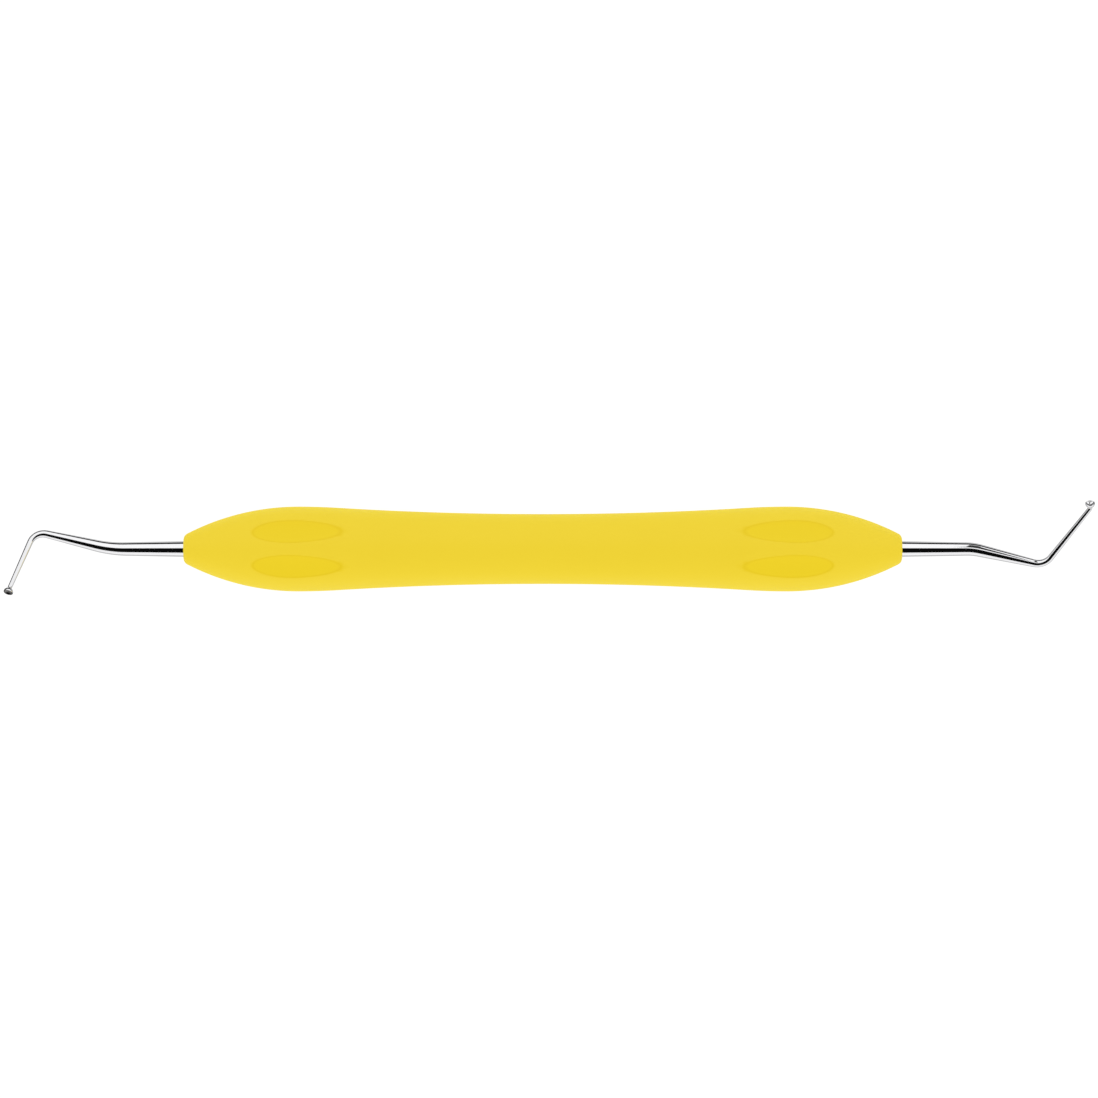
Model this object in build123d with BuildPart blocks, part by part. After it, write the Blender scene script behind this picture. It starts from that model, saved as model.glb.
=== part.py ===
from build123d import *
import math
import os

# A double-ended hand instrument lying on its side.  The handle's axis is X, the shanks
# and necks lie in the XY plane, the legs rise out of it towards +Z, and the origin is on
# the axis at the handle's middle.

# Grip sleeve: two barrel-shaped lobes joined by a slim waist
handle_length = 110.0
lobe_radius = 6.5
lobe_from_end = 17.6  # from the handle's end to the fattest place of the lobe
nose_curve_radius = 37.3  # the outline from the lobe down to the handle's end
nose_edge_radius = 1.0
lobe_back_radius = 100.0  # the outline just behind the lobe
waist_radius = 5.35

# Finger dimples: a pair of shallow ovals side by side on each lobe, above and below
dimple_angle = 25.7  # of each dimple from the top or the bottom of the lobe
scoop_radius = 10.5
scoop_depth = 0.48
scoop_length = 24.0
scoop_tilt = 1.7  # the scoop leans with the lobe, so that the oval is centred on it

# Core: a thin steel tube with a turned plug pressed into each end
tube_radius = 3.5
tube_bore_radius = 3.0
tube_from_end = 14.0
plug_from_end = 2.2
plug_tip_radius = 2.0
plug_cone_length = 6.8
plug_spigot_length = 10.0
plug_chamfer = 0.3
groove_from_end = 10.2
groove_width = 1.5
groove_depth = 0.6

# Working ends: tang, straight shank, angled neck, leg and a round cup-shaped spoon
tang_length = 18.0
tang_radius = 1.2
tang_chamfer = 0.3
spoon_radius = 0.75
spoon_edge = 0.12
spoon_thickness = 0.8
spoon_bowl_radius = 0.8
spoon_bowl_depth = 0.44
leg_rise = 23.0  # degrees, of each leg out of the plane of the shank and neck
spoon_stem = 0.95  # from the corner at the leg's tip to the spoon's rim
spoon_lean = 30.0  # degrees, of the bowl out of the plane of the shank and neck

half_length = handle_length / 2
lobe_x = half_length - lobe_from_end
tube_x = half_length - tube_from_end
plug_x = half_length - plug_from_end
spigot_x = tube_x - plug_spigot_length
groove_x = half_length - groove_from_end

# Each end: lengths between the corners of the centreline, their angles from the handle's
# axis, the bend radii, and the steel's radius before and after each bend and at the tip
left_end = {
    "side": -1,
    "shank": 11.2,
    "neck": 11.9,
    "leg": 10.0,
    "neck_angle": 13.1,
    "leg_angle": -67.8,
    "spoon_angle": -74.0,
    "bend_radii": [20.0, 2.2, 0.5],
    "steel_radii": [1.2, 1.04, 0.9, 0.6, 0.46, 0.34, 0.33, 0.33],
}
right_end = {
    "side": 1,
    "shank": 10.9,
    "neck": 11.2,
    "leg": 11.9,
    "neck_angle": -13.1,
    "leg_angle": 52.8,
    "spoon_angle": 94.0,
    "bend_radii": [9.0, 2.5, 0.5],
    "steel_radii": [1.2, 1.03, 0.98, 0.61, 0.5, 0.35, 0.34, 0.34],
}

os.makedirs("parts", exist_ok=True)


def direction(end, angle, rise=0.0):
    # a unit vector turned from the outward axis towards +Y, then raised towards +Z
    turn = math.radians(angle)
    lift = math.radians(rise)
    level = Vector(end["side"] * math.cos(turn), math.sin(turn))
    return level * math.cos(lift) + Vector(0, 0, math.sin(lift))


def handle_end(end):
    return Vector(end["side"] * half_length, 0)


def centreline_corners(end):
    kink = handle_end(end) + direction(end, 0) * end["shank"]
    elbow = kink + direction(end, end["neck_angle"]) * end["neck"]
    leg_tip = elbow + direction(end, end["leg_angle"], leg_rise) * end["leg"]
    rim_centre = leg_tip + direction(end, end["spoon_angle"], spoon_lean) * spoon_stem
    return [handle_end(end), kink, elbow, leg_tip, rim_centre]


def make_working_end(end):
    outwards = direction(end, 0)
    with BuildPart() as piece:
        # tang, with its chamfered inner tip
        with BuildSketch(Plane(origin=handle_end(end), z_dir=-outwards)):
            Circle(tang_radius)
        extrude(amount=tang_length)
        inner_rim = piece.edges().sort_by(Axis(handle_end(end), outwards))[0]
        chamfer(inner_rim, tang_chamfer)

        # shank, neck and leg: a tapered rod, made run by run along the bent centreline
        with BuildLine(mode=Mode.PRIVATE) as route:
            FilletPolyline(*centreline_corners(end), radius=end["bend_radii"])
        centreline = route.wires()[0]
        steel_radii = end["steel_radii"]
        for run, start_radius, end_radius in zip(centreline.edges(), steel_radii, steel_radii[1:]):
            with BuildSketch(Plane(origin=run @ 0, z_dir=run % 0)):
                Circle(start_radius)
            with BuildSketch(Plane(origin=run @ 1, z_dir=run % 1)):
                Circle(end_radius)
            sweep(path=run, multisection=True)

        # spoon: a domed back turned about the stem, then the hollow of the bowl
        facing = direction(end, end["spoon_angle"], spoon_lean)
        rim_centre = centreline @ 1
        dome_height = spoon_thickness - spoon_edge
        dome_radius = (spoon_radius**2 + dome_height**2) / (2 * dome_height)
        across = facing.cross(Vector(0, 0, 1)).normalized()
        with BuildSketch(Plane(origin=rim_centre, x_dir=across, z_dir=across.cross(facing))):
            with BuildLine():
                Polyline((0, -spoon_thickness), (0, 0), (spoon_radius, 0), (spoon_radius, -spoon_edge))
                RadiusArc((spoon_radius, -spoon_edge), (0, -spoon_thickness), dome_radius)
            make_face()
        revolve(axis=Axis(rim_centre, facing))
        with Locations(rim_centre + facing * (spoon_bowl_radius - spoon_bowl_depth)):
            Sphere(spoon_bowl_radius, mode=Mode.SUBTRACT)
    return piece


def make_nose_plug(end):
    side = end["side"]
    with BuildPart() as piece:
        with BuildSketch():
            with BuildLine():
                Polyline(
                    (side * plug_x, tang_radius),
                    (side * plug_x, plug_tip_radius),
                    (side * (plug_x - plug_cone_length), tube_radius),
                    (side * groove_x, tube_radius),
                    (side * groove_x, tube_radius - groove_depth),
                    (side * (groove_x - groove_width), tube_radius - groove_depth),
                    (side * (groove_x - groove_width), tube_radius),
                    (side * tube_x, tube_radius),
                    (side * tube_x, tube_bore_radius),
                    (side * (spigot_x + plug_chamfer), tube_bore_radius),
                    (side * spigot_x, tube_bore_radius - plug_chamfer),
                    (side * spigot_x, tang_radius),
                    close=True,
                )
            make_face()
        revolve(axis=Axis.X)
    return piece


# Core tube, open at both ends
with BuildPart() as core_tube:
    with BuildSketch(Plane.YZ):
        Circle(tube_radius)
        Circle(tube_bore_radius, mode=Mode.SUBTRACT)
    extrude(amount=tube_x, both=True)
core_tube.part.label = "core_tube"

left_nose_plug = make_nose_plug(left_end)
left_nose_plug.part.label = "left_nose_plug"
right_nose_plug = make_nose_plug(right_end)
right_nose_plug.part.label = "right_nose_plug"

# Grip sleeve: the outline is arcs from the nose to the waist, and its bore takes the core
nose_angle = math.degrees(math.asin(lobe_from_end / nose_curve_radius))
waist_angle = 2 * math.degrees(math.atan((lobe_radius - waist_radius) / lobe_x))
waist_curve_radius = lobe_x / math.sin(math.radians(waist_angle)) - lobe_back_radius
with BuildPart() as grip_sleeve:
    with BuildSketch() as sleeve_section:
        with BuildLine():
            nose = JernArc((lobe_x, lobe_radius), (1, 0), nose_curve_radius, -nose_angle)
            back = JernArc((lobe_x, lobe_radius), (-1, 0), lobe_back_radius, waist_angle)
            waist = JernArc(back @ 1, back % 1, waist_curve_radius, -waist_angle)
            Polyline(waist @ 1, (0, 0), (half_length, 0), nose @ 1)
        make_face()
        nose_corner = sleeve_section.vertices().group_by(Axis.X)[-1].sort_by(Axis.Y)[-1]
        fillet(nose_corner, nose_edge_radius)
        mirror(about=Plane.YZ)
    revolve(axis=Axis.X)
    for side in (-1, 1):
        with Locations(Plane(origin=(side * lobe_x, 0, 0), x_dir=(0, 0, 1), z_dir=(side, 0, 0))):
            ring_radius = lobe_radius - scoop_depth + scoop_radius
            for middle in (0, 180):
                pair_start = middle - dimple_angle
                with PolarLocations(ring_radius, 2, pair_start, 2 * dimple_angle, endpoint=True):
                    Cylinder(scoop_radius, scoop_length, rotation=(0, -scoop_tilt, 0), mode=Mode.SUBTRACT)
    # the room that the core fills
    with Locations(Plane.YZ):
        Cylinder(tube_radius, 2 * tube_x, mode=Mode.SUBTRACT)
        Cylinder(tang_radius, handle_length, mode=Mode.SUBTRACT)
    add(left_nose_plug.part, mode=Mode.SUBTRACT)
    add(right_nose_plug.part, mode=Mode.SUBTRACT)
grip_sleeve.part.label = "grip_sleeve"

left_working_end = make_working_end(left_end)
left_working_end.part.label = "left_working_end"
right_working_end = make_working_end(right_end)
right_working_end.part.label = "right_working_end"

for node in (grip_sleeve, core_tube, left_nose_plug, right_nose_plug, left_working_end, right_working_end):
    export_step(node.part, f"parts/{node.part.label}.step")
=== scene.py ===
import math

import bpy
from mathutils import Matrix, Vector


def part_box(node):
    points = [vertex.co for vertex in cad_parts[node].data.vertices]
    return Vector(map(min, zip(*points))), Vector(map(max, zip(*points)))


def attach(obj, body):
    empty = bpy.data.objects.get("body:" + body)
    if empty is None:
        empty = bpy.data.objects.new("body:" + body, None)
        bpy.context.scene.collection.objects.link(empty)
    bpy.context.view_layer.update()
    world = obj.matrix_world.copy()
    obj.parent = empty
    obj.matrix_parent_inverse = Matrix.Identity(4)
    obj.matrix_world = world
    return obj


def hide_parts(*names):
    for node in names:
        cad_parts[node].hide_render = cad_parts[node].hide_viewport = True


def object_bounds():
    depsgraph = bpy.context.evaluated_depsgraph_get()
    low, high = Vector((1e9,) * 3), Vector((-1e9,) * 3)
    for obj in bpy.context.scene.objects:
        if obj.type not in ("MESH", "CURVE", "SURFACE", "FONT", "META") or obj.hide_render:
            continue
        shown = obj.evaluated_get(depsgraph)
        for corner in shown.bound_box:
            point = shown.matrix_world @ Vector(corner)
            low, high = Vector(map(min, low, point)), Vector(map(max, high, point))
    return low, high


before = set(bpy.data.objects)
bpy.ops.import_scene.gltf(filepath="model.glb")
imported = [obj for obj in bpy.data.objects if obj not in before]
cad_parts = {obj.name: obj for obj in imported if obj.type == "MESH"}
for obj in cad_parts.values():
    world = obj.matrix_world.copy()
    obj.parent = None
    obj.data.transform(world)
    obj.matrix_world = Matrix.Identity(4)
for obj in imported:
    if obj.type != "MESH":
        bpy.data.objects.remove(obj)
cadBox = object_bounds()     # kept straight after load
mm = 0.001
print("frame loaded:", ", ".join(sorted(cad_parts)))

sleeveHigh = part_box("grip_sleeve")[1]
handleEnd = sleeveHigh.x
lobeRadius = sleeveHigh.z
floorHeight = cadBox[0].z


# small helpers

def newMesh(name, points, faces, smooth=True):
    mesh = bpy.data.meshes.new(name)
    mesh.from_pydata(points, [], faces)
    mesh.validate()
    for face in mesh.polygons:
        face.use_smooth = smooth
    piece = bpy.data.objects.new(name, mesh)
    bpy.context.scene.collection.objects.link(piece)
    return piece


def addNode(tree, kind, **settings):
    node = tree.nodes.new(kind)
    for name, value in settings.items():
        setattr(node, name, value)
    return node


def feed(tree, socket, value):
    # a socket is linked, anything else is set as the input's own value
    if isinstance(value, bpy.types.NodeSocket):
        tree.links.new(value, socket)
    else:
        socket.default_value = value


def mathStep(tree, operation, *values):
    node = addNode(tree, "ShaderNodeMath", operation=operation)
    for socket, value in zip(node.inputs, values):
        feed(tree, socket, value)
    return node.outputs[0]


def newTree(name, inputs):
    tree = bpy.data.node_groups.new(name, "GeometryNodeTree")
    face = tree.interface
    face.new_socket("Geometry", in_out="INPUT", socket_type="NodeSocketGeometry")
    face.new_socket("Geometry", in_out="OUTPUT", socket_type="NodeSocketGeometry")
    for label, kind in inputs:
        face.new_socket(label, in_out="INPUT", socket_type=kind)
    return tree, addNode(tree, "NodeGroupInput"), addNode(tree, "NodeGroupOutput")


def finishTree(tree, geometry, material, treeOut):
    realize = addNode(tree, "GeometryNodeRealizeInstances")
    dress = addNode(tree, "GeometryNodeSetMaterial")
    dress.inputs["Material"].default_value = material
    tree.links.new(geometry, realize.inputs[0])
    tree.links.new(realize.outputs[0], dress.inputs["Geometry"])
    tree.links.new(dress.outputs[0], treeOut.inputs[0])


def applyTree(source, tree, values, name):
    # sets the named inputs, evaluates once and keeps the result as a plain mesh
    modifier = source.modifiers.new(tree.name, "NODES")
    modifier.node_group = tree
    sockets = {item.name: item.identifier for item in tree.interface.items_tree if item.in_out == "INPUT"}
    for label, value in values.items():
        modifier[sockets[label]] = value
    ready = source.evaluated_get(bpy.context.evaluated_depsgraph_get())
    mesh = bpy.data.meshes.new_from_object(ready)
    mesh.name = name
    bpy.data.objects.remove(source)
    piece = bpy.data.objects.new(name, mesh)
    bpy.context.scene.collection.objects.link(piece)
    return piece


def arc(centre, radius, start, end, steps):
    # points on a circle in the outline's plane, angles in radians from +X
    points = []
    for step in range(steps + 1):
        angle = start + (end - start) * step / steps
        points.append((centre[0] + radius * math.cos(angle), centre[1] + radius * math.sin(angle)))
    return points


# materials

def newMaterial(name):
    material = bpy.data.materials.new(name)
    material.use_nodes = True
    return material, material.node_tree, material.node_tree.nodes["Principled BSDF"]


def mixColours(tree, factor, first, second):
    mix = addNode(tree, "ShaderNodeMix", data_type="RGBA")
    colours = [socket for socket in mix.inputs if socket.type == "RGBA"]
    feed(tree, mix.inputs["Factor"], factor)
    feed(tree, colours[0], first)
    feed(tree, colours[1], second)
    return [socket for socket in mix.outputs if socket.type == "RGBA"][0]


def noiseFrom(tree, vector, size, detail=2.0):
    noise = addNode(tree, "ShaderNodeTexNoise")
    noise.inputs["Scale"].default_value = 1 / size
    noise.inputs["Detail"].default_value = detail
    tree.links.new(vector, noise.inputs["Vector"])
    return noise.outputs["Fac"]


def rangeOf(tree, value, low, high):
    ramp = addNode(tree, "ShaderNodeMapRange")
    feed(tree, ramp.inputs["Value"], value)
    feed(tree, ramp.inputs["To Min"], low)
    feed(tree, ramp.inputs["To Max"], high)
    return ramp.outputs["Result"]


def bumpFrom(tree, height, distance, strength):
    bump = addNode(tree, "ShaderNodeBump")
    bump.inputs["Strength"].default_value = strength
    bump.inputs["Distance"].default_value = distance
    tree.links.new(height, bump.inputs["Height"])
    return bump.outputs["Normal"]


def objectPlace(tree):
    return addNode(tree, "ShaderNodeTexCoord").outputs["Object"]


def pieceValue(tree, name, output="Fac"):
    return addNode(tree, "ShaderNodeAttribute", attribute_name=name).outputs[output]


siliconeLook = {
    "colour": (0.888, 0.663, 0.032, 1.0),
    "cloudColour": (0.871, 0.645, 0.028, 1.0),
    # painted shade for the dimples' hollows and for the creases round their rims
    "dimpleShadeColour": (0.866, 0.636, 0.013, 1.0),
    "rimShadeColour": (0.820, 0.585, 0.008, 1.0),
    "roughness": (0.42, 0.54),
    "grainSize": 0.22 * mm,
    "grainHeight": 0.006 * mm,
    "grainStrength": 0.35,
    "cloudSize": 9.0 * mm,
    "cloudDetail": 3.0,
    "specularLevel": 0.12,
    "ior": 1.41,
    "bloom": 0.8,                    # the faint bloom of moulded silicone, seen along the edges
    "bloomRoughness": 0.6,
    "bloomTint": (1.0, 0.84, 0.08, 1.0),
}


def yellowSilicone():
    look = siliconeLook
    material, tree, shader = newMaterial("yellowSilicone")
    place = objectPlace(tree)
    clouds = noiseFrom(tree, place, look["cloudSize"], look["cloudDetail"])
    clouded = mixColours(tree, clouds, look["colour"], look["cloudColour"])
    # painted shade: the pressed dimples are a little deeper in colour than the skin round them, and a band
    # along their rims deeper still, standing in for the shade in the hollows and their creases
    pressed = pieceValue(tree, "dimple")
    dimpleShaded = mixColours(tree, pressed, clouded, look["dimpleShadeColour"])
    rimShadeBand = mathStep(tree, "PINGPONG", mathStep(tree, "MULTIPLY", pressed, 2.0), 1.0)
    colour = mixColours(tree, rimShadeBand, dimpleShaded, look["rimShadeColour"])
    tree.links.new(colour, shader.inputs["Base Color"])
    grain = noiseFrom(tree, place, look["grainSize"])
    tree.links.new(rangeOf(tree, grain, *look["roughness"]), shader.inputs["Roughness"])
    tree.links.new(bumpFrom(tree, grain, look["grainHeight"], look["grainStrength"]), shader.inputs["Normal"])
    shader.inputs["Specular IOR Level"].default_value = look["specularLevel"]
    shader.inputs["IOR"].default_value = look["ior"]
    shader.inputs["Sheen Weight"].default_value = look["bloom"]
    shader.inputs["Sheen Roughness"].default_value = look["bloomRoughness"]
    shader.inputs["Sheen Tint"].default_value = look["bloomTint"]
    return material


polishLook = {
    "bright": (0.90, 0.90, 0.91, 1.0),
    "dull": (0.82, 0.82, 0.84, 1.0),
    # painted shade: a darker steel colour for the legs, so their reflections come out dimmer
    "legShadeColour": (0.62, 0.62, 0.63, 1.0),
    # painted dark reflection: the nearly black steel inside the bowl, and its lighter scratch lines
    "paintedDarkBowl": (0.05, 0.048, 0.046, 1.0),
    "paintedDarkBowlLines": (0.42, 0.41, 0.40, 1.0),
    "roughness": (0.04, 0.09),
    "legShade": 0.35,                 # painted shade: how far the legs go from the bright steel to the darker leg colour, so they reflect less
    "legStart": (20.0 * mm, 26.0 * mm),
    "groundRoughness": 0.34,
    "lineWidth": 0.05 * mm,
    "lineLength": 1.8 * mm,
    "lineHeight": 0.0004 * mm,
    "lineDetail": 2.0,
    "scratchSize": 0.09 * mm,
    "scratchStretch": (0.35, 2.2, 1.0),
    "scratchDetail": 4.0,
    "scratchRange": (-0.6, 1.4),     # wider than 0 to 1, for more contrast between the scratches
    "scratchHeight": 0.02 * mm,
    "reliefStrength": 0.6,
    "cloudSize": 4.0 * mm,
}


def polishedSteel():
    # polish lines run along the bent rod, and the inside of the bowl is left rough and scratched as it was
    # ground; its steel is also coloured nearly black there, a painted dark reflection
    look = polishLook
    material, tree, shader = newMaterial("polishedSteel")
    shader.inputs["Metallic"].default_value = 1.0
    place = objectPlace(tree)
    fromCentre = addNode(tree, "ShaderNodeVectorMath", operation="SUBTRACT")
    feed(tree, fromCentre.inputs[0], place)
    feed(tree, fromCentre.inputs[1], pieceValue(tree, "centre", "Vector"))
    lines = addNode(tree, "ShaderNodeTexNoise", noise_dimensions="4D")
    lines.inputs["Scale"].default_value = 1 / look["lineWidth"]
    lines.inputs["Detail"].default_value = look["lineDetail"]
    feed(tree, lines.inputs["Vector"], fromCentre.outputs[0])
    stretch = look["lineWidth"] / look["lineLength"]
    feed(tree, lines.inputs["W"], mathStep(tree, "MULTIPLY", pieceValue(tree, "along"), stretch))
    bowl = pieceValue(tree, "bowl")
    clouded = mixColours(tree, noiseFrom(tree, place, look["cloudSize"]), look["bright"], look["dull"])
    # painted shade: the steel darkens along the legs, from legStart on
    legShadeMask = addNode(tree, "ShaderNodeMapRange")
    feed(tree, legShadeMask.inputs["Value"], pieceValue(tree, "along"))
    legShadeMask.inputs["From Min"].default_value = look["legStart"][0] + rodValues["tangLength"]
    legShadeMask.inputs["From Max"].default_value = look["legStart"][1] + rodValues["tangLength"]
    legShadeMask.inputs["To Max"].default_value = look["legShade"]
    steel = mixColours(tree, legShadeMask.outputs["Result"], clouded, look["legShadeColour"])
    scratchPlace = addNode(tree, "ShaderNodeMapping")
    scratchPlace.inputs["Scale"].default_value = look["scratchStretch"]
    tree.links.new(place, scratchPlace.inputs["Vector"])
    scratches = noiseFrom(tree, scratchPlace.outputs["Vector"], look["scratchSize"], look["scratchDetail"])
    contrast = rangeOf(tree, scratches, *look["scratchRange"])
    # painted dark reflection: the inside of the bowl is coloured nearly black, with lighter scratch lines
    paintedDarkBowl = mixColours(tree, contrast, look["paintedDarkBowl"], look["paintedDarkBowlLines"])
    tree.links.new(mixColours(tree, bowl, steel, paintedDarkBowl), shader.inputs["Base Color"])
    shine = rangeOf(tree, lines.outputs["Fac"], *look["roughness"])
    rough = rangeOf(tree, bowl, shine, look["groundRoughness"])
    tree.links.new(rough, shader.inputs["Roughness"])
    height = mathStep(tree, "MULTIPLY", lines.outputs["Fac"], look["lineHeight"])
    scratched = mathStep(tree, "MULTIPLY", scratches, bowl)
    relief = mathStep(tree, "ADD", height, mathStep(tree, "MULTIPLY", scratched, look["scratchHeight"]))
    tree.links.new(bumpFrom(tree, relief, 1.0, look["reliefStrength"]), shader.inputs["Normal"])
    return material


turnedLook = {
    "bright": (0.58, 0.58, 0.60, 1.0),
    "dull": (0.46, 0.46, 0.48, 1.0),
    "roughness": (0.28, 0.45),
    "ringPitch": 0.06 * mm,
    "ringReach": 0.4 * mm,
    "ringHeight": 0.004 * mm,
    "ringStrength": 0.4,
    "cloudSize": 4.0 * mm,
}


def turnedSteel():
    # fine rings left by the lathe, all about the handle's axis
    look = turnedLook
    material, tree, shader = newMaterial("turnedSteel")
    shader.inputs["Metallic"].default_value = 1.0
    place = objectPlace(tree)
    steel = mixColours(tree, noiseFrom(tree, place, look["cloudSize"]), look["bright"], look["dull"])
    tree.links.new(steel, shader.inputs["Base Color"])
    squeeze = addNode(tree, "ShaderNodeMapping")
    acrossRing = look["ringPitch"] / look["ringReach"]
    squeeze.inputs["Scale"].default_value = (1.0, acrossRing, acrossRing)
    tree.links.new(place, squeeze.inputs["Vector"])
    rings = noiseFrom(tree, squeeze.outputs["Vector"], look["ringPitch"])
    tree.links.new(rangeOf(tree, rings, *look["roughness"]), shader.inputs["Roughness"])
    tree.links.new(bumpFrom(tree, rings, look["ringHeight"], look["ringStrength"]), shader.inputs["Normal"])
    return material


# grip sleeve: the revolved outline, then a pair of finger dimples pressed into each face of each lobe

gripValues = {
    "noseCurve": 37.3 * mm,
    "noseEdge": 1.0 * mm,
    "lobeFromEnd": 17.6 * mm,
    "lobeBack": 100.0 * mm,
    "waistRadius": 5.35 * mm,
    "boreRadius": 1.2 * mm,
    "around": 240,
    "edgeSteps": 10,
    "noseSteps": 88,
    "backSteps": 56,
    "waistSteps": 30,
}

coreRoom = [
    # the cavity round the core: distance from the handle's end, radius
    (2.2, 1.2), (2.2, 2.0), (9.0, 3.5), (10.2, 3.5), (10.2, 2.9), (11.7, 2.9), (11.7, 3.5),
]

dimpleValues = {
    "Dimple Angle": math.radians(25.7),
    "Scoop Radius": 10.5 * mm,
    "Scoop Depth": 0.48 * mm,
    "Scoop Slope": math.tan(math.radians(1.7)),
    "Edge Softness": 0.10 * mm,
    # the depth over which the painted shade in each dimple builds up
    "Rim Depth": 0.12 * mm,
}


def gripOutline():
    values = gripValues
    lobeX = handleEnd - values["lobeFromEnd"]
    curve, edge = values["noseCurve"], values["noseEdge"]
    curveCentre = (lobeX, lobeRadius - curve)
    edgeX = handleEnd - edge
    edgeY = curveCentre[1] + math.sqrt((curve - edge) ** 2 - (edgeX - lobeX) ** 2)
    joinAngle = math.atan2(edgeY - curveCentre[1], edgeX - curveCentre[0])
    drop = lobeRadius - values["waistRadius"]
    waistAngle = 2 * math.atan(drop / lobeX)
    waistCurve = lobeX / math.sin(waistAngle) - values["lobeBack"]
    up = math.pi / 2
    right = [(handleEnd, values["boreRadius"])]
    right += arc((edgeX, edgeY), edge, 0, joinAngle, values["edgeSteps"])
    right += arc(curveCentre, curve, joinAngle, up, values["noseSteps"])[1:]
    backCentre = (lobeX, lobeRadius - values["lobeBack"])
    right += arc(backCentre, values["lobeBack"], up, up + waistAngle, values["backSteps"])[1:]
    waistCentre = (0.0, values["waistRadius"] + waistCurve)
    right += arc(waistCentre, waistCurve, waistAngle - up, -up, values["waistSteps"])[1:]
    left = [(-x, r) for x, r in reversed(right[:-1])]
    room = [(handleEnd - s * mm, r * mm) for s, r in coreRoom]
    roomLeft = [(-x, r) for x, r in room]
    return right + left + roomLeft + room[::-1]


def buildGrip(material):
    around = gripValues["around"]
    outline = gripOutline()
    points = []
    for x, r in outline:
        for step in range(around):
            angle = 2 * math.pi * step / around
            points.append((x, r * math.sin(angle), r * math.cos(angle)))
    faces = []
    for ring in range(len(outline)):
        here, after = ring * around, (ring + 1) % len(outline) * around
        for step in range(around):
            beside = (step + 1) % around
            faces.append((here + step, here + beside, after + beside, after + step))
    blank = newMesh("gripBlank", points, faces)

    values = dict(dimpleValues)
    values["Lobe Place"] = handleEnd - gripValues["lobeFromEnd"]
    values["Lobe Radius"] = lobeRadius
    labels = [(label, "NodeSocketFloat") for label in values]
    tree, treeIn, treeOut = newTree("pressDimples", labels)
    place = addNode(tree, "GeometryNodeInputPosition")
    parts = addNode(tree, "ShaderNodeSeparateXYZ")
    tree.links.new(place.outputs[0], parts.inputs[0])
    x, y, z = parts.outputs
    # distance from the axis, and the angle to the nearest dimple's middle
    across = mathStep(tree, "MULTIPLY", y, y)
    radius = mathStep(tree, "SQRT", mathStep(tree, "MULTIPLY_ADD", z, z, across))
    fromFace = mathStep(tree, "WRAP", mathStep(tree, "ARCTAN2", y, z), math.pi / 2, -math.pi / 2)
    near = mathStep(tree, "SUBTRACT", mathStep(tree, "ABSOLUTE", fromFace), treeIn.outputs["Dimple Angle"])
    # the scoop leans with the lobe: it sits lower towards the handle's end
    along = mathStep(tree, "SUBTRACT", mathStep(tree, "ABSOLUTE", x), treeIn.outputs["Lobe Place"])
    floorOfScoop = mathStep(tree, "SUBTRACT", treeIn.outputs["Lobe Radius"], treeIn.outputs["Scoop Depth"])
    lean = mathStep(tree, "MULTIPLY", along, treeIn.outputs["Scoop Slope"])
    floorHere = mathStep(tree, "SUBTRACT", floorOfScoop, lean)
    centre = mathStep(tree, "ADD", floorHere, treeIn.outputs["Scoop Radius"])
    side = mathStep(tree, "MULTIPLY", centre, mathStep(tree, "SINE", near))
    reach = mathStep(tree, "POWER", treeIn.outputs["Scoop Radius"], 2.0)
    depth = mathStep(tree, "SQRT", mathStep(tree, "SUBTRACT", reach, mathStep(tree, "MULTIPLY", side, side)))
    outward = mathStep(tree, "MULTIPLY", centre, mathStep(tree, "COSINE", near))
    scoop = mathStep(tree, "SUBTRACT", outward, depth)
    pressed = mathStep(tree, "SMOOTH_MIN", radius, scoop, treeIn.outputs["Edge Softness"])
    factor = mathStep(tree, "DIVIDE", pressed, radius)
    moved = addNode(tree, "ShaderNodeCombineXYZ")
    feed(tree, moved.inputs[0], x)
    feed(tree, moved.inputs[1], mathStep(tree, "MULTIPLY", y, factor))
    feed(tree, moved.inputs[2], mathStep(tree, "MULTIPLY", z, factor))
    # how far into a dimple each point is, for the painted shade in the dimples and along their rims
    depthHere = mathStep(tree, "SUBTRACT", radius, scoop)
    shade = mathStep(tree, "DIVIDE", depthHere, treeIn.outputs["Rim Depth"])
    keep = addNode(tree, "GeometryNodeStoreNamedAttribute", data_type="FLOAT", domain="POINT")
    keep.inputs["Name"].default_value = "dimple"
    tree.links.new(treeIn.outputs["Geometry"], keep.inputs["Geometry"])
    feed(tree, keep.inputs["Value"], mathStep(tree, "MINIMUM", mathStep(tree, "MAXIMUM", shade, 0.0), 1.0))
    press = addNode(tree, "GeometryNodeSetPosition")
    tree.links.new(keep.outputs[0], press.inputs["Geometry"])
    tree.links.new(moved.outputs[0], press.inputs["Position"])
    finishTree(tree, press.outputs[0], material, treeOut)
    return applyTree(blank, tree, values, "gripSkin")


# working ends: a tapered rod along its bent path, flared into a hollow spoon

rodValues = {
    "tangLength": 18.0 * mm,
    "tangChamfer": 0.3 * mm,
    "around": 72,
    "pathStep": 0.12 * mm,
    "spoonRadius": 0.75 * mm,
    "spoonEdge": 0.12 * mm,
    "spoonThickness": 0.80 * mm,
    "spoonStem": 0.95 * mm,
    "spoonLean": 30.0,
    "bowlRadius": 0.80 * mm,
    "bowlDepth": 0.44 * mm,
    "ballSegments": 96,
    "ballRings": 64,
    "neckBlend": 0.16 * mm,
    "rimBreak": 0.02 * mm,
    "rimSlope": 0.6,
    "creaseAngle": 0.6,              # radians: a sharper edge than this stays crisp
    "weldGap": 0.0005 * mm,
    "bowlSkin": 0.002 * mm,          # how far from the ball a point may lie and still be the bowl's
}
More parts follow.
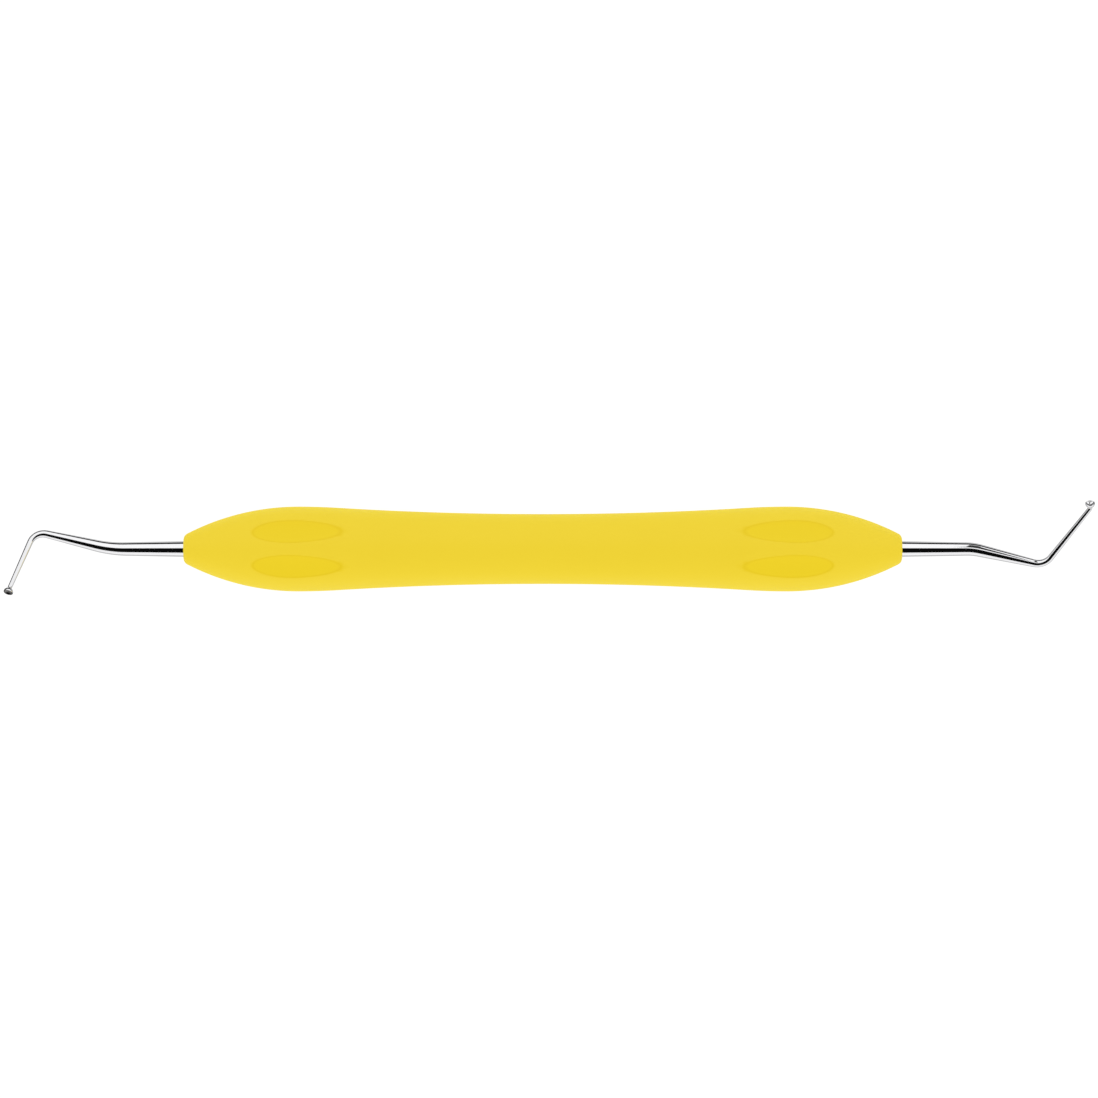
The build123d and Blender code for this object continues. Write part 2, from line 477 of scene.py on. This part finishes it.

# lengths, bend radii and steel radii in mm, angles in degrees; the last value sets how rough the bowl was
# left and how far the bowl's steel is darkened, a painted dark reflection
leftEnd = {
    "name": "leftSteelEnd",
    "node": "left_working_end",
    "side": -1,
    "runs": [11.2, 11.9, 10.0],
    "angles": [0.0, 13.1, -67.8],
    "rises": [0.0, 0.0, 23.0],
    "spoonAngle": -74.0,
    "bends": [20.0, 2.2, 0.5],
    "radii": [1.2, 1.04, 0.9, 0.6, 0.46, 0.34, 0.33, 0.33],
    "bowlGrindAndShade": 1.0,
}
rightEnd = {
    "name": "rightSteelEnd",
    "node": "right_working_end",
    "side": 1,
    "runs": [10.9, 11.2, 11.9],
    "angles": [0.0, -13.1, 52.8],
    "rises": [0.0, 0.0, 23.0],
    "spoonAngle": 94.0,
    "bends": [9.0, 2.5, 0.5],
    "radii": [1.2, 1.03, 0.98, 0.61, 0.5, 0.35, 0.34, 0.34],
    "bowlGrindAndShade": 0.12,
}


def heading(end, degrees, rise=0.0):
    turn, lift = math.radians(degrees), math.radians(rise)
    level = Vector((end["side"] * math.cos(turn), math.sin(turn), 0.0))
    return level * math.cos(lift) + Vector((0.0, 0.0, math.sin(lift)))


def bentPath(corners, bends, step):
    # the corners' polyline with an arc at each inner corner: points, and the length at each run's end
    points, marks = [corners[0].copy()], [0.0]
    length = 0.0

    def extend(point):
        nonlocal length
        length += (point - points[-1]).length
        points.append(point)

    def straightTo(target):
        start = points[-1].copy()
        count = max(1, math.ceil((target - start).length / step))
        for index in range(1, count + 1):
            extend(start.lerp(target, index / count))
        marks.append(length)

    for before, corner, after, bend in zip(corners, corners[1:], corners[2:], bends):
        inward, outward = (corner - before).normalized(), (after - corner).normalized()
        turn = inward.angle(outward)
        reach = bend * mm * math.tan(turn / 2)
        straightTo(corner - inward * reach)
        sideways = (outward - inward * inward.dot(outward)).normalized()
        centre = points[-1] + sideways * bend * mm
        count = max(6, math.ceil(bend * mm * turn / step))
        for index in range(1, count + 1):
            angle = turn * index / count
            extend(centre + (inward * math.sin(angle) - sideways * math.cos(angle)) * bend * mm)
        marks.append(length)
    straightTo(corners[-1])
    return points, marks


def softMax(first, second, blend):
    gap = max(blend - abs(first - second), 0.0) / blend
    return max(first, second) + gap * gap * blend / 4


def spoonBack(below):
    # the radius of the spoon's domed back, this far below its rim
    values = rodValues
    height = values["spoonThickness"] - values["spoonEdge"]
    dome = (values["spoonRadius"] ** 2 + height ** 2) / (2 * height)
    if below <= values["rimBreak"]:
        return values["spoonRadius"] - (values["rimBreak"] - below) * values["rimSlope"]
    if below <= values["spoonEdge"]:
        return values["spoonRadius"]
    rise = values["spoonThickness"] - below
    return math.sqrt(max(dome ** 2 - (dome - rise) ** 2, 0.0)) if rise > 0 else 0.0


def rodRadius(length, marks, radii, total):
    for start, stop, first, last in zip(marks, marks[1:], radii, radii[1:]):
        if length <= stop:
            radius = first + (last - first) * max(length - start, 0.0) / (stop - start)
            break
    else:
        radius = radii[-1]
    return softMax(radius * mm, spoonBack(total - length), rodValues["neckBlend"])


def rodTree(material):
    labels = [("Around", "NodeSocketInt"), ("Bowl Radius", "NodeSocketFloat"),
              ("Bowl Centre", "NodeSocketVector"), ("Bowl Grind And Shade", "NodeSocketFloat")]
    tree, treeIn, treeOut = newTree("bentSteelEnd", labels)
    # the distance along the path and the path's own place ride onto the mesh for the polish marks
    spline = addNode(tree, "GeometryNodeSplineParameter")
    keepAlong = addNode(tree, "GeometryNodeStoreNamedAttribute", data_type="FLOAT", domain="POINT")
    keepAlong.inputs["Name"].default_value = "along"
    feed(tree, keepAlong.inputs["Geometry"], treeIn.outputs["Geometry"])
    feed(tree, keepAlong.inputs["Value"], spline.outputs["Length"])
    where = addNode(tree, "GeometryNodeInputPosition")
    keepCentre = addNode(tree, "GeometryNodeStoreNamedAttribute", data_type="FLOAT_VECTOR", domain="POINT")
    keepCentre.inputs["Name"].default_value = "centre"
    feed(tree, keepCentre.inputs["Geometry"], keepAlong.outputs[0])
    feed(tree, keepCentre.inputs["Value"], where.outputs[0])
    ring = addNode(tree, "GeometryNodeCurvePrimitiveCircle")
    ring.inputs["Radius"].default_value = 1.0
    feed(tree, ring.inputs["Resolution"], treeIn.outputs["Around"])
    width = addNode(tree, "GeometryNodeInputRadius")
    rod = addNode(tree, "GeometryNodeCurveToMesh")
    rod.inputs["Fill Caps"].default_value = True
    feed(tree, rod.inputs["Curve"], keepCentre.outputs[0])
    feed(tree, rod.inputs["Profile Curve"], ring.outputs[0])
    feed(tree, rod.inputs["Scale"], width.outputs[0])
    # the hollow of the bowl
    ball = addNode(tree, "GeometryNodeMeshUVSphere")
    ball.inputs["Segments"].default_value = rodValues["ballSegments"]
    ball.inputs["Rings"].default_value = rodValues["ballRings"]
    feed(tree, ball.inputs["Radius"], treeIn.outputs["Bowl Radius"])
    shift = addNode(tree, "GeometryNodeTransform")
    feed(tree, shift.inputs["Geometry"], ball.outputs["Mesh"])
    feed(tree, shift.inputs["Translation"], treeIn.outputs["Bowl Centre"])
    hollow = addNode(tree, "GeometryNodeMeshBoolean", operation="DIFFERENCE", solver="EXACT")
    feed(tree, hollow.inputs[0], rod.outputs[0])
    feed(tree, hollow.inputs[1], shift.outputs[0])
    weld = addNode(tree, "GeometryNodeMergeByDistance")
    weld.inputs["Distance"].default_value = rodValues["weldGap"]
    feed(tree, weld.inputs["Geometry"], hollow.outputs["Mesh"])
    # what lies on the ball's surface is the inside of the bowl
    fromBowl = addNode(tree, "ShaderNodeVectorMath", operation="DISTANCE")
    here = addNode(tree, "GeometryNodeInputPosition")
    feed(tree, fromBowl.inputs[0], here.outputs[0])
    feed(tree, fromBowl.inputs[1], treeIn.outputs["Bowl Centre"])
    nearBall = mathStep(tree, "ADD", treeIn.outputs["Bowl Radius"], rodValues["bowlSkin"])
    inBowl = mathStep(tree, "LESS_THAN", fromBowl.outputs["Value"], nearBall)
    # this mask, scaled per end, gives both the bowl's rough grind and its painted dark reflection
    keepBowl = addNode(tree, "GeometryNodeStoreNamedAttribute", data_type="FLOAT", domain="POINT")
    keepBowl.inputs["Name"].default_value = "bowl"
    feed(tree, keepBowl.inputs["Geometry"], weld.outputs[0])
    feed(tree, keepBowl.inputs["Value"], mathStep(tree, "MULTIPLY", inBowl, treeIn.outputs["Bowl Grind And Shade"]))
    soft = addNode(tree, "GeometryNodeSetShadeSmooth", domain="FACE")
    feed(tree, soft.inputs["Geometry"], keepBowl.outputs[0])
    edge = addNode(tree, "GeometryNodeInputMeshEdgeAngle")
    crisp = addNode(tree, "GeometryNodeSetShadeSmooth", domain="EDGE")
    crisp.inputs["Shade Smooth"].default_value = False
    feed(tree, crisp.inputs["Geometry"], soft.outputs[0])
    sharp = mathStep(tree, "GREATER_THAN", edge.outputs["Unsigned Angle"], rodValues["creaseAngle"])
    feed(tree, crisp.inputs["Selection"], sharp)
    finishTree(tree, crisp.outputs[0], material, treeOut)
    return tree


def buildRod(end, tree):
    values = rodValues
    facing = heading(end, end["spoonAngle"], values["spoonLean"])
    handleFace = Vector((end["side"] * handleEnd, 0.0, 0.0))
    corners = [handleFace]
    for run, angle, rise in zip(end["runs"], end["angles"], end["rises"]):
        corners.append(corners[-1] + heading(end, angle, rise) * run * mm)
    corners.append(corners[-1] + facing * values["spoonStem"])
    points, marks = bentPath(corners, end["bends"], values["pathStep"])
    total = marks[-1]

    path = bpy.data.curves.new(end["name"] + "Path", "CURVE")
    path.dimensions = "3D"
    spline = path.splines.new("POLY")
    tang, chamfer = values["tangLength"], values["tangChamfer"]
    inward = heading(end, 180.0)
    rings = [
        (handleFace + inward * tang, end["radii"][0] * mm - chamfer),
        (handleFace + inward * (tang - chamfer), end["radii"][0] * mm),
        (handleFace + inward * (tang / 2), end["radii"][0] * mm),
    ]
    length = 0.0
    for index, point in enumerate(points):
        if index:
            length += (point - points[index - 1]).length
        rings.append((point, rodRadius(length, marks, end["radii"], total)))
    spline.points.add(len(rings) - 1)
    for target, (place, radius) in zip(spline.points, rings):
        target.co = (*place, 1.0)
        target.radius = radius
    source = bpy.data.objects.new(end["name"] + "Path", path)
    bpy.context.scene.collection.objects.link(source)
    bowlCentre = corners[-1] + facing * (values["bowlRadius"] - values["bowlDepth"])
    inputs = {
        "Around": values["around"],
        "Bowl Radius": values["bowlRadius"],
        "Bowl Centre": tuple(bowlCentre),
        "Bowl Grind And Shade": end["bowlGrindAndShade"],
    }
    return applyTree(source, tree, inputs, end["name"])


# make the object

silicone = yellowSilicone()
polished = polishedSteel()
turned = turnedSteel()

grip = buildGrip(silicone)
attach(grip, "root")
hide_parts("grip_sleeve")
print("grip:", len(grip.data.polygons), "faces")

steelTree = rodTree(polished)
for end in (leftEnd, rightEnd):
    rod = buildRod(end, steelTree)
    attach(rod, "root")
    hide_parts(end["node"])
    print(rod.name + ":", len(rod.data.polygons), "faces")

for name in ("core_tube", "left_nose_plug", "right_nose_plug"):
    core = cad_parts[name]
    core.data.materials.clear()
    core.data.materials.append(turned)
print("core dressed")


# floor, lights and camera

studio = {
    "floorColour": (0.14, 0.14, 0.14, 1.0),
    "floorGlow": 0.93,
    "floorReach": 4.0,
    "sheetRoughness": 0.9,
    "skyStrength": 0.97,
    "keyPower": 0.15,
    "keySize": (1.2, 0.4),
    "keyPlace": (0.0, -0.50, 0.50),
    "cardReach": 1.5,                # how far the cards run each way along the instrument
    "cardHeight": 0.30,
    "boxHeight": 0.315,
    "boxGlow": 1.10,
    "cardAngles": (-57.0, 12.0),     # of the dark card overhead, from straight up towards +Y
    "boxAngles": (18.0, 76.0),
    "horizonLine": (15.0 * mm, 0.8),
    "horizonRise": 8.0,
    "lineLift": 0.4 * mm,            # of the flat cards above the floor
    "greyReach": 21.0 * mm,
    "greyGlow": 0.60,
    "greyPastLeft": 6.0 * mm,        # the patch runs from here beyond the left head
    "greyRight": 200.0 * mm,
    "rightCardHeight": 60.0 * mm,
    "rightCardNear": (70.0 * mm, 95.0 * mm, 32.0 * mm),      # x from and to, and y
    "rightCardFar": (100.0 * mm, 145.0 * mm, 234.0 * mm),
    "rightCardGlow": 0.035,
}

cameraValues = {
    "lens": 200.0,
    "sensor": 36.0,
    "frameShare": 1.011,             # a little room beyond the heads, which stand nearer the camera
    "clip": (0.01, 20.0),
}


def stageSheet(name, corners, colour, glow=0.0, hidden=False):
    sheet = newMesh(name, corners, [(0, 1, 2, 3)], smooth=False)
    material, tree, shader = newMaterial(name)
    shader.inputs["Base Color"].default_value = colour
    shader.inputs["Roughness"].default_value = studio["sheetRoughness"]
    shader.inputs["Specular IOR Level"].default_value = 0.0
    shader.inputs["Emission Color"].default_value = (1.0, 1.0, 1.0, 1.0)
    shader.inputs["Emission Strength"].default_value = glow
    sheet.data.materials.append(material)
    if hidden:
        # seen only in reflections
        sheet.visible_camera = False
        sheet.visible_diffuse = False
        sheet.visible_shadow = False
        sheet.visible_transmission = False


def flatSheet(xFrom, xTo, yFrom, yTo, z):
    return [(xFrom, yFrom, z), (xTo, yFrom, z), (xTo, yTo, z), (xFrom, yTo, z)]


def overheadSheet(xFrom, xTo, angles, height):
    reach = [height * math.tan(math.radians(angle)) for angle in angles]
    return flatSheet(xFrom, xTo, reach[0], reach[1], height)


black = (0.003, 0.003, 0.003, 1.0)
wide = studio["floorReach"]
floorSheet = flatSheet(-wide, wide, -wide, wide, floorHeight)
stageSheet("floor", floorSheet, studio["floorColour"], glow=studio["floorGlow"])

# the steel's pattern: a dark strip overhead, a bright box beside it, a dark line at the
# horizon and a grey patch under the instrument
reach = studio["cardReach"]
cardSheet = overheadSheet(-reach, reach, studio["cardAngles"], studio["cardHeight"])
stageSheet("darkCardAbove", cardSheet, black, hidden=True)
boxSheet = overheadSheet(-reach, reach, studio["boxAngles"], studio["boxHeight"])
stageSheet("brightBox", boxSheet, black, glow=studio["boxGlow"], hidden=True)

lineFrom, lineTo = studio["horizonLine"]
justAbove = floorHeight + studio["lineLift"]
lineTop = floorHeight + lineTo * math.tan(math.radians(studio["horizonRise"]))
wallSheet = [(-reach, lineTo, justAbove), (reach, lineTo, justAbove),
             (reach, lineTo, lineTop), (-reach, lineTo, lineTop)]
stageSheet("darkLineFloor", flatSheet(-reach, reach, lineFrom, lineTo, justAbove), black, hidden=True)
stageSheet("darkLineWall", wallSheet, black, hidden=True)

greyNear = -studio["greyReach"]
patchLeft = cadBox[0].x - studio["greyPastLeft"]
patchSheet = flatSheet(patchLeft, studio["greyRight"], greyNear, lineFrom, justAbove)
stageSheet("greyPatch", patchSheet, black, glow=studio["greyGlow"], hidden=True)
stageSheet("darkLineLeft", flatSheet(-reach, patchLeft, greyNear, lineFrom, justAbove), black, hidden=True)

# a card close by, which only the right neck looks into
near, far, cardLevel = studio["rightCardNear"], studio["rightCardFar"], studio["rightCardHeight"]
cardCorners = [(near[0], near[2], cardLevel), (near[1], near[2], cardLevel),
               (far[1], far[2], cardLevel), (far[0], far[2], cardLevel)]
stageSheet("darkCardRight", cardCorners, black, glow=studio["rightCardGlow"], hidden=True)

world = bpy.data.worlds.new("whiteRoom")
bpy.context.scene.world = world
world.use_nodes = True
world.node_tree.nodes["Background"].inputs["Color"].default_value = (1.0, 1.0, 1.0, 1.0)
world.node_tree.nodes["Background"].inputs["Strength"].default_value = studio["skyStrength"]

keyLamp = bpy.data.lights.new("keyLamp", "AREA")
keyLamp.shape = "RECTANGLE"
keyLamp.size, keyLamp.size_y = studio["keySize"]
keyLamp.energy = studio["keyPower"]
key = bpy.data.objects.new("keyLamp", keyLamp)
bpy.context.scene.collection.objects.link(key)
key.location = studio["keyPlace"]
key.rotation_euler = (-key.location).to_track_quat("-Z", "Y").to_euler()

low, high = cadBox
cameraData = bpy.data.cameras.new("mainCamera")
cameraData.lens = cameraValues["lens"]
cameraData.sensor_width = cameraValues["sensor"]
camera = bpy.data.objects.new("mainCamera", cameraData)
bpy.context.scene.collection.objects.link(camera)
frameWidth = (high.x - low.x) * cameraValues["frameShare"]
camera.location = ((low.x + high.x) / 2, 0.0, frameWidth * cameraData.lens / cameraData.sensor_width)
cameraData.clip_start, cameraData.clip_end = cameraValues["clip"]
bpy.context.scene.camera = camera
bpy.context.scene.view_settings.view_transform = "Standard"
print("stage and camera ready")
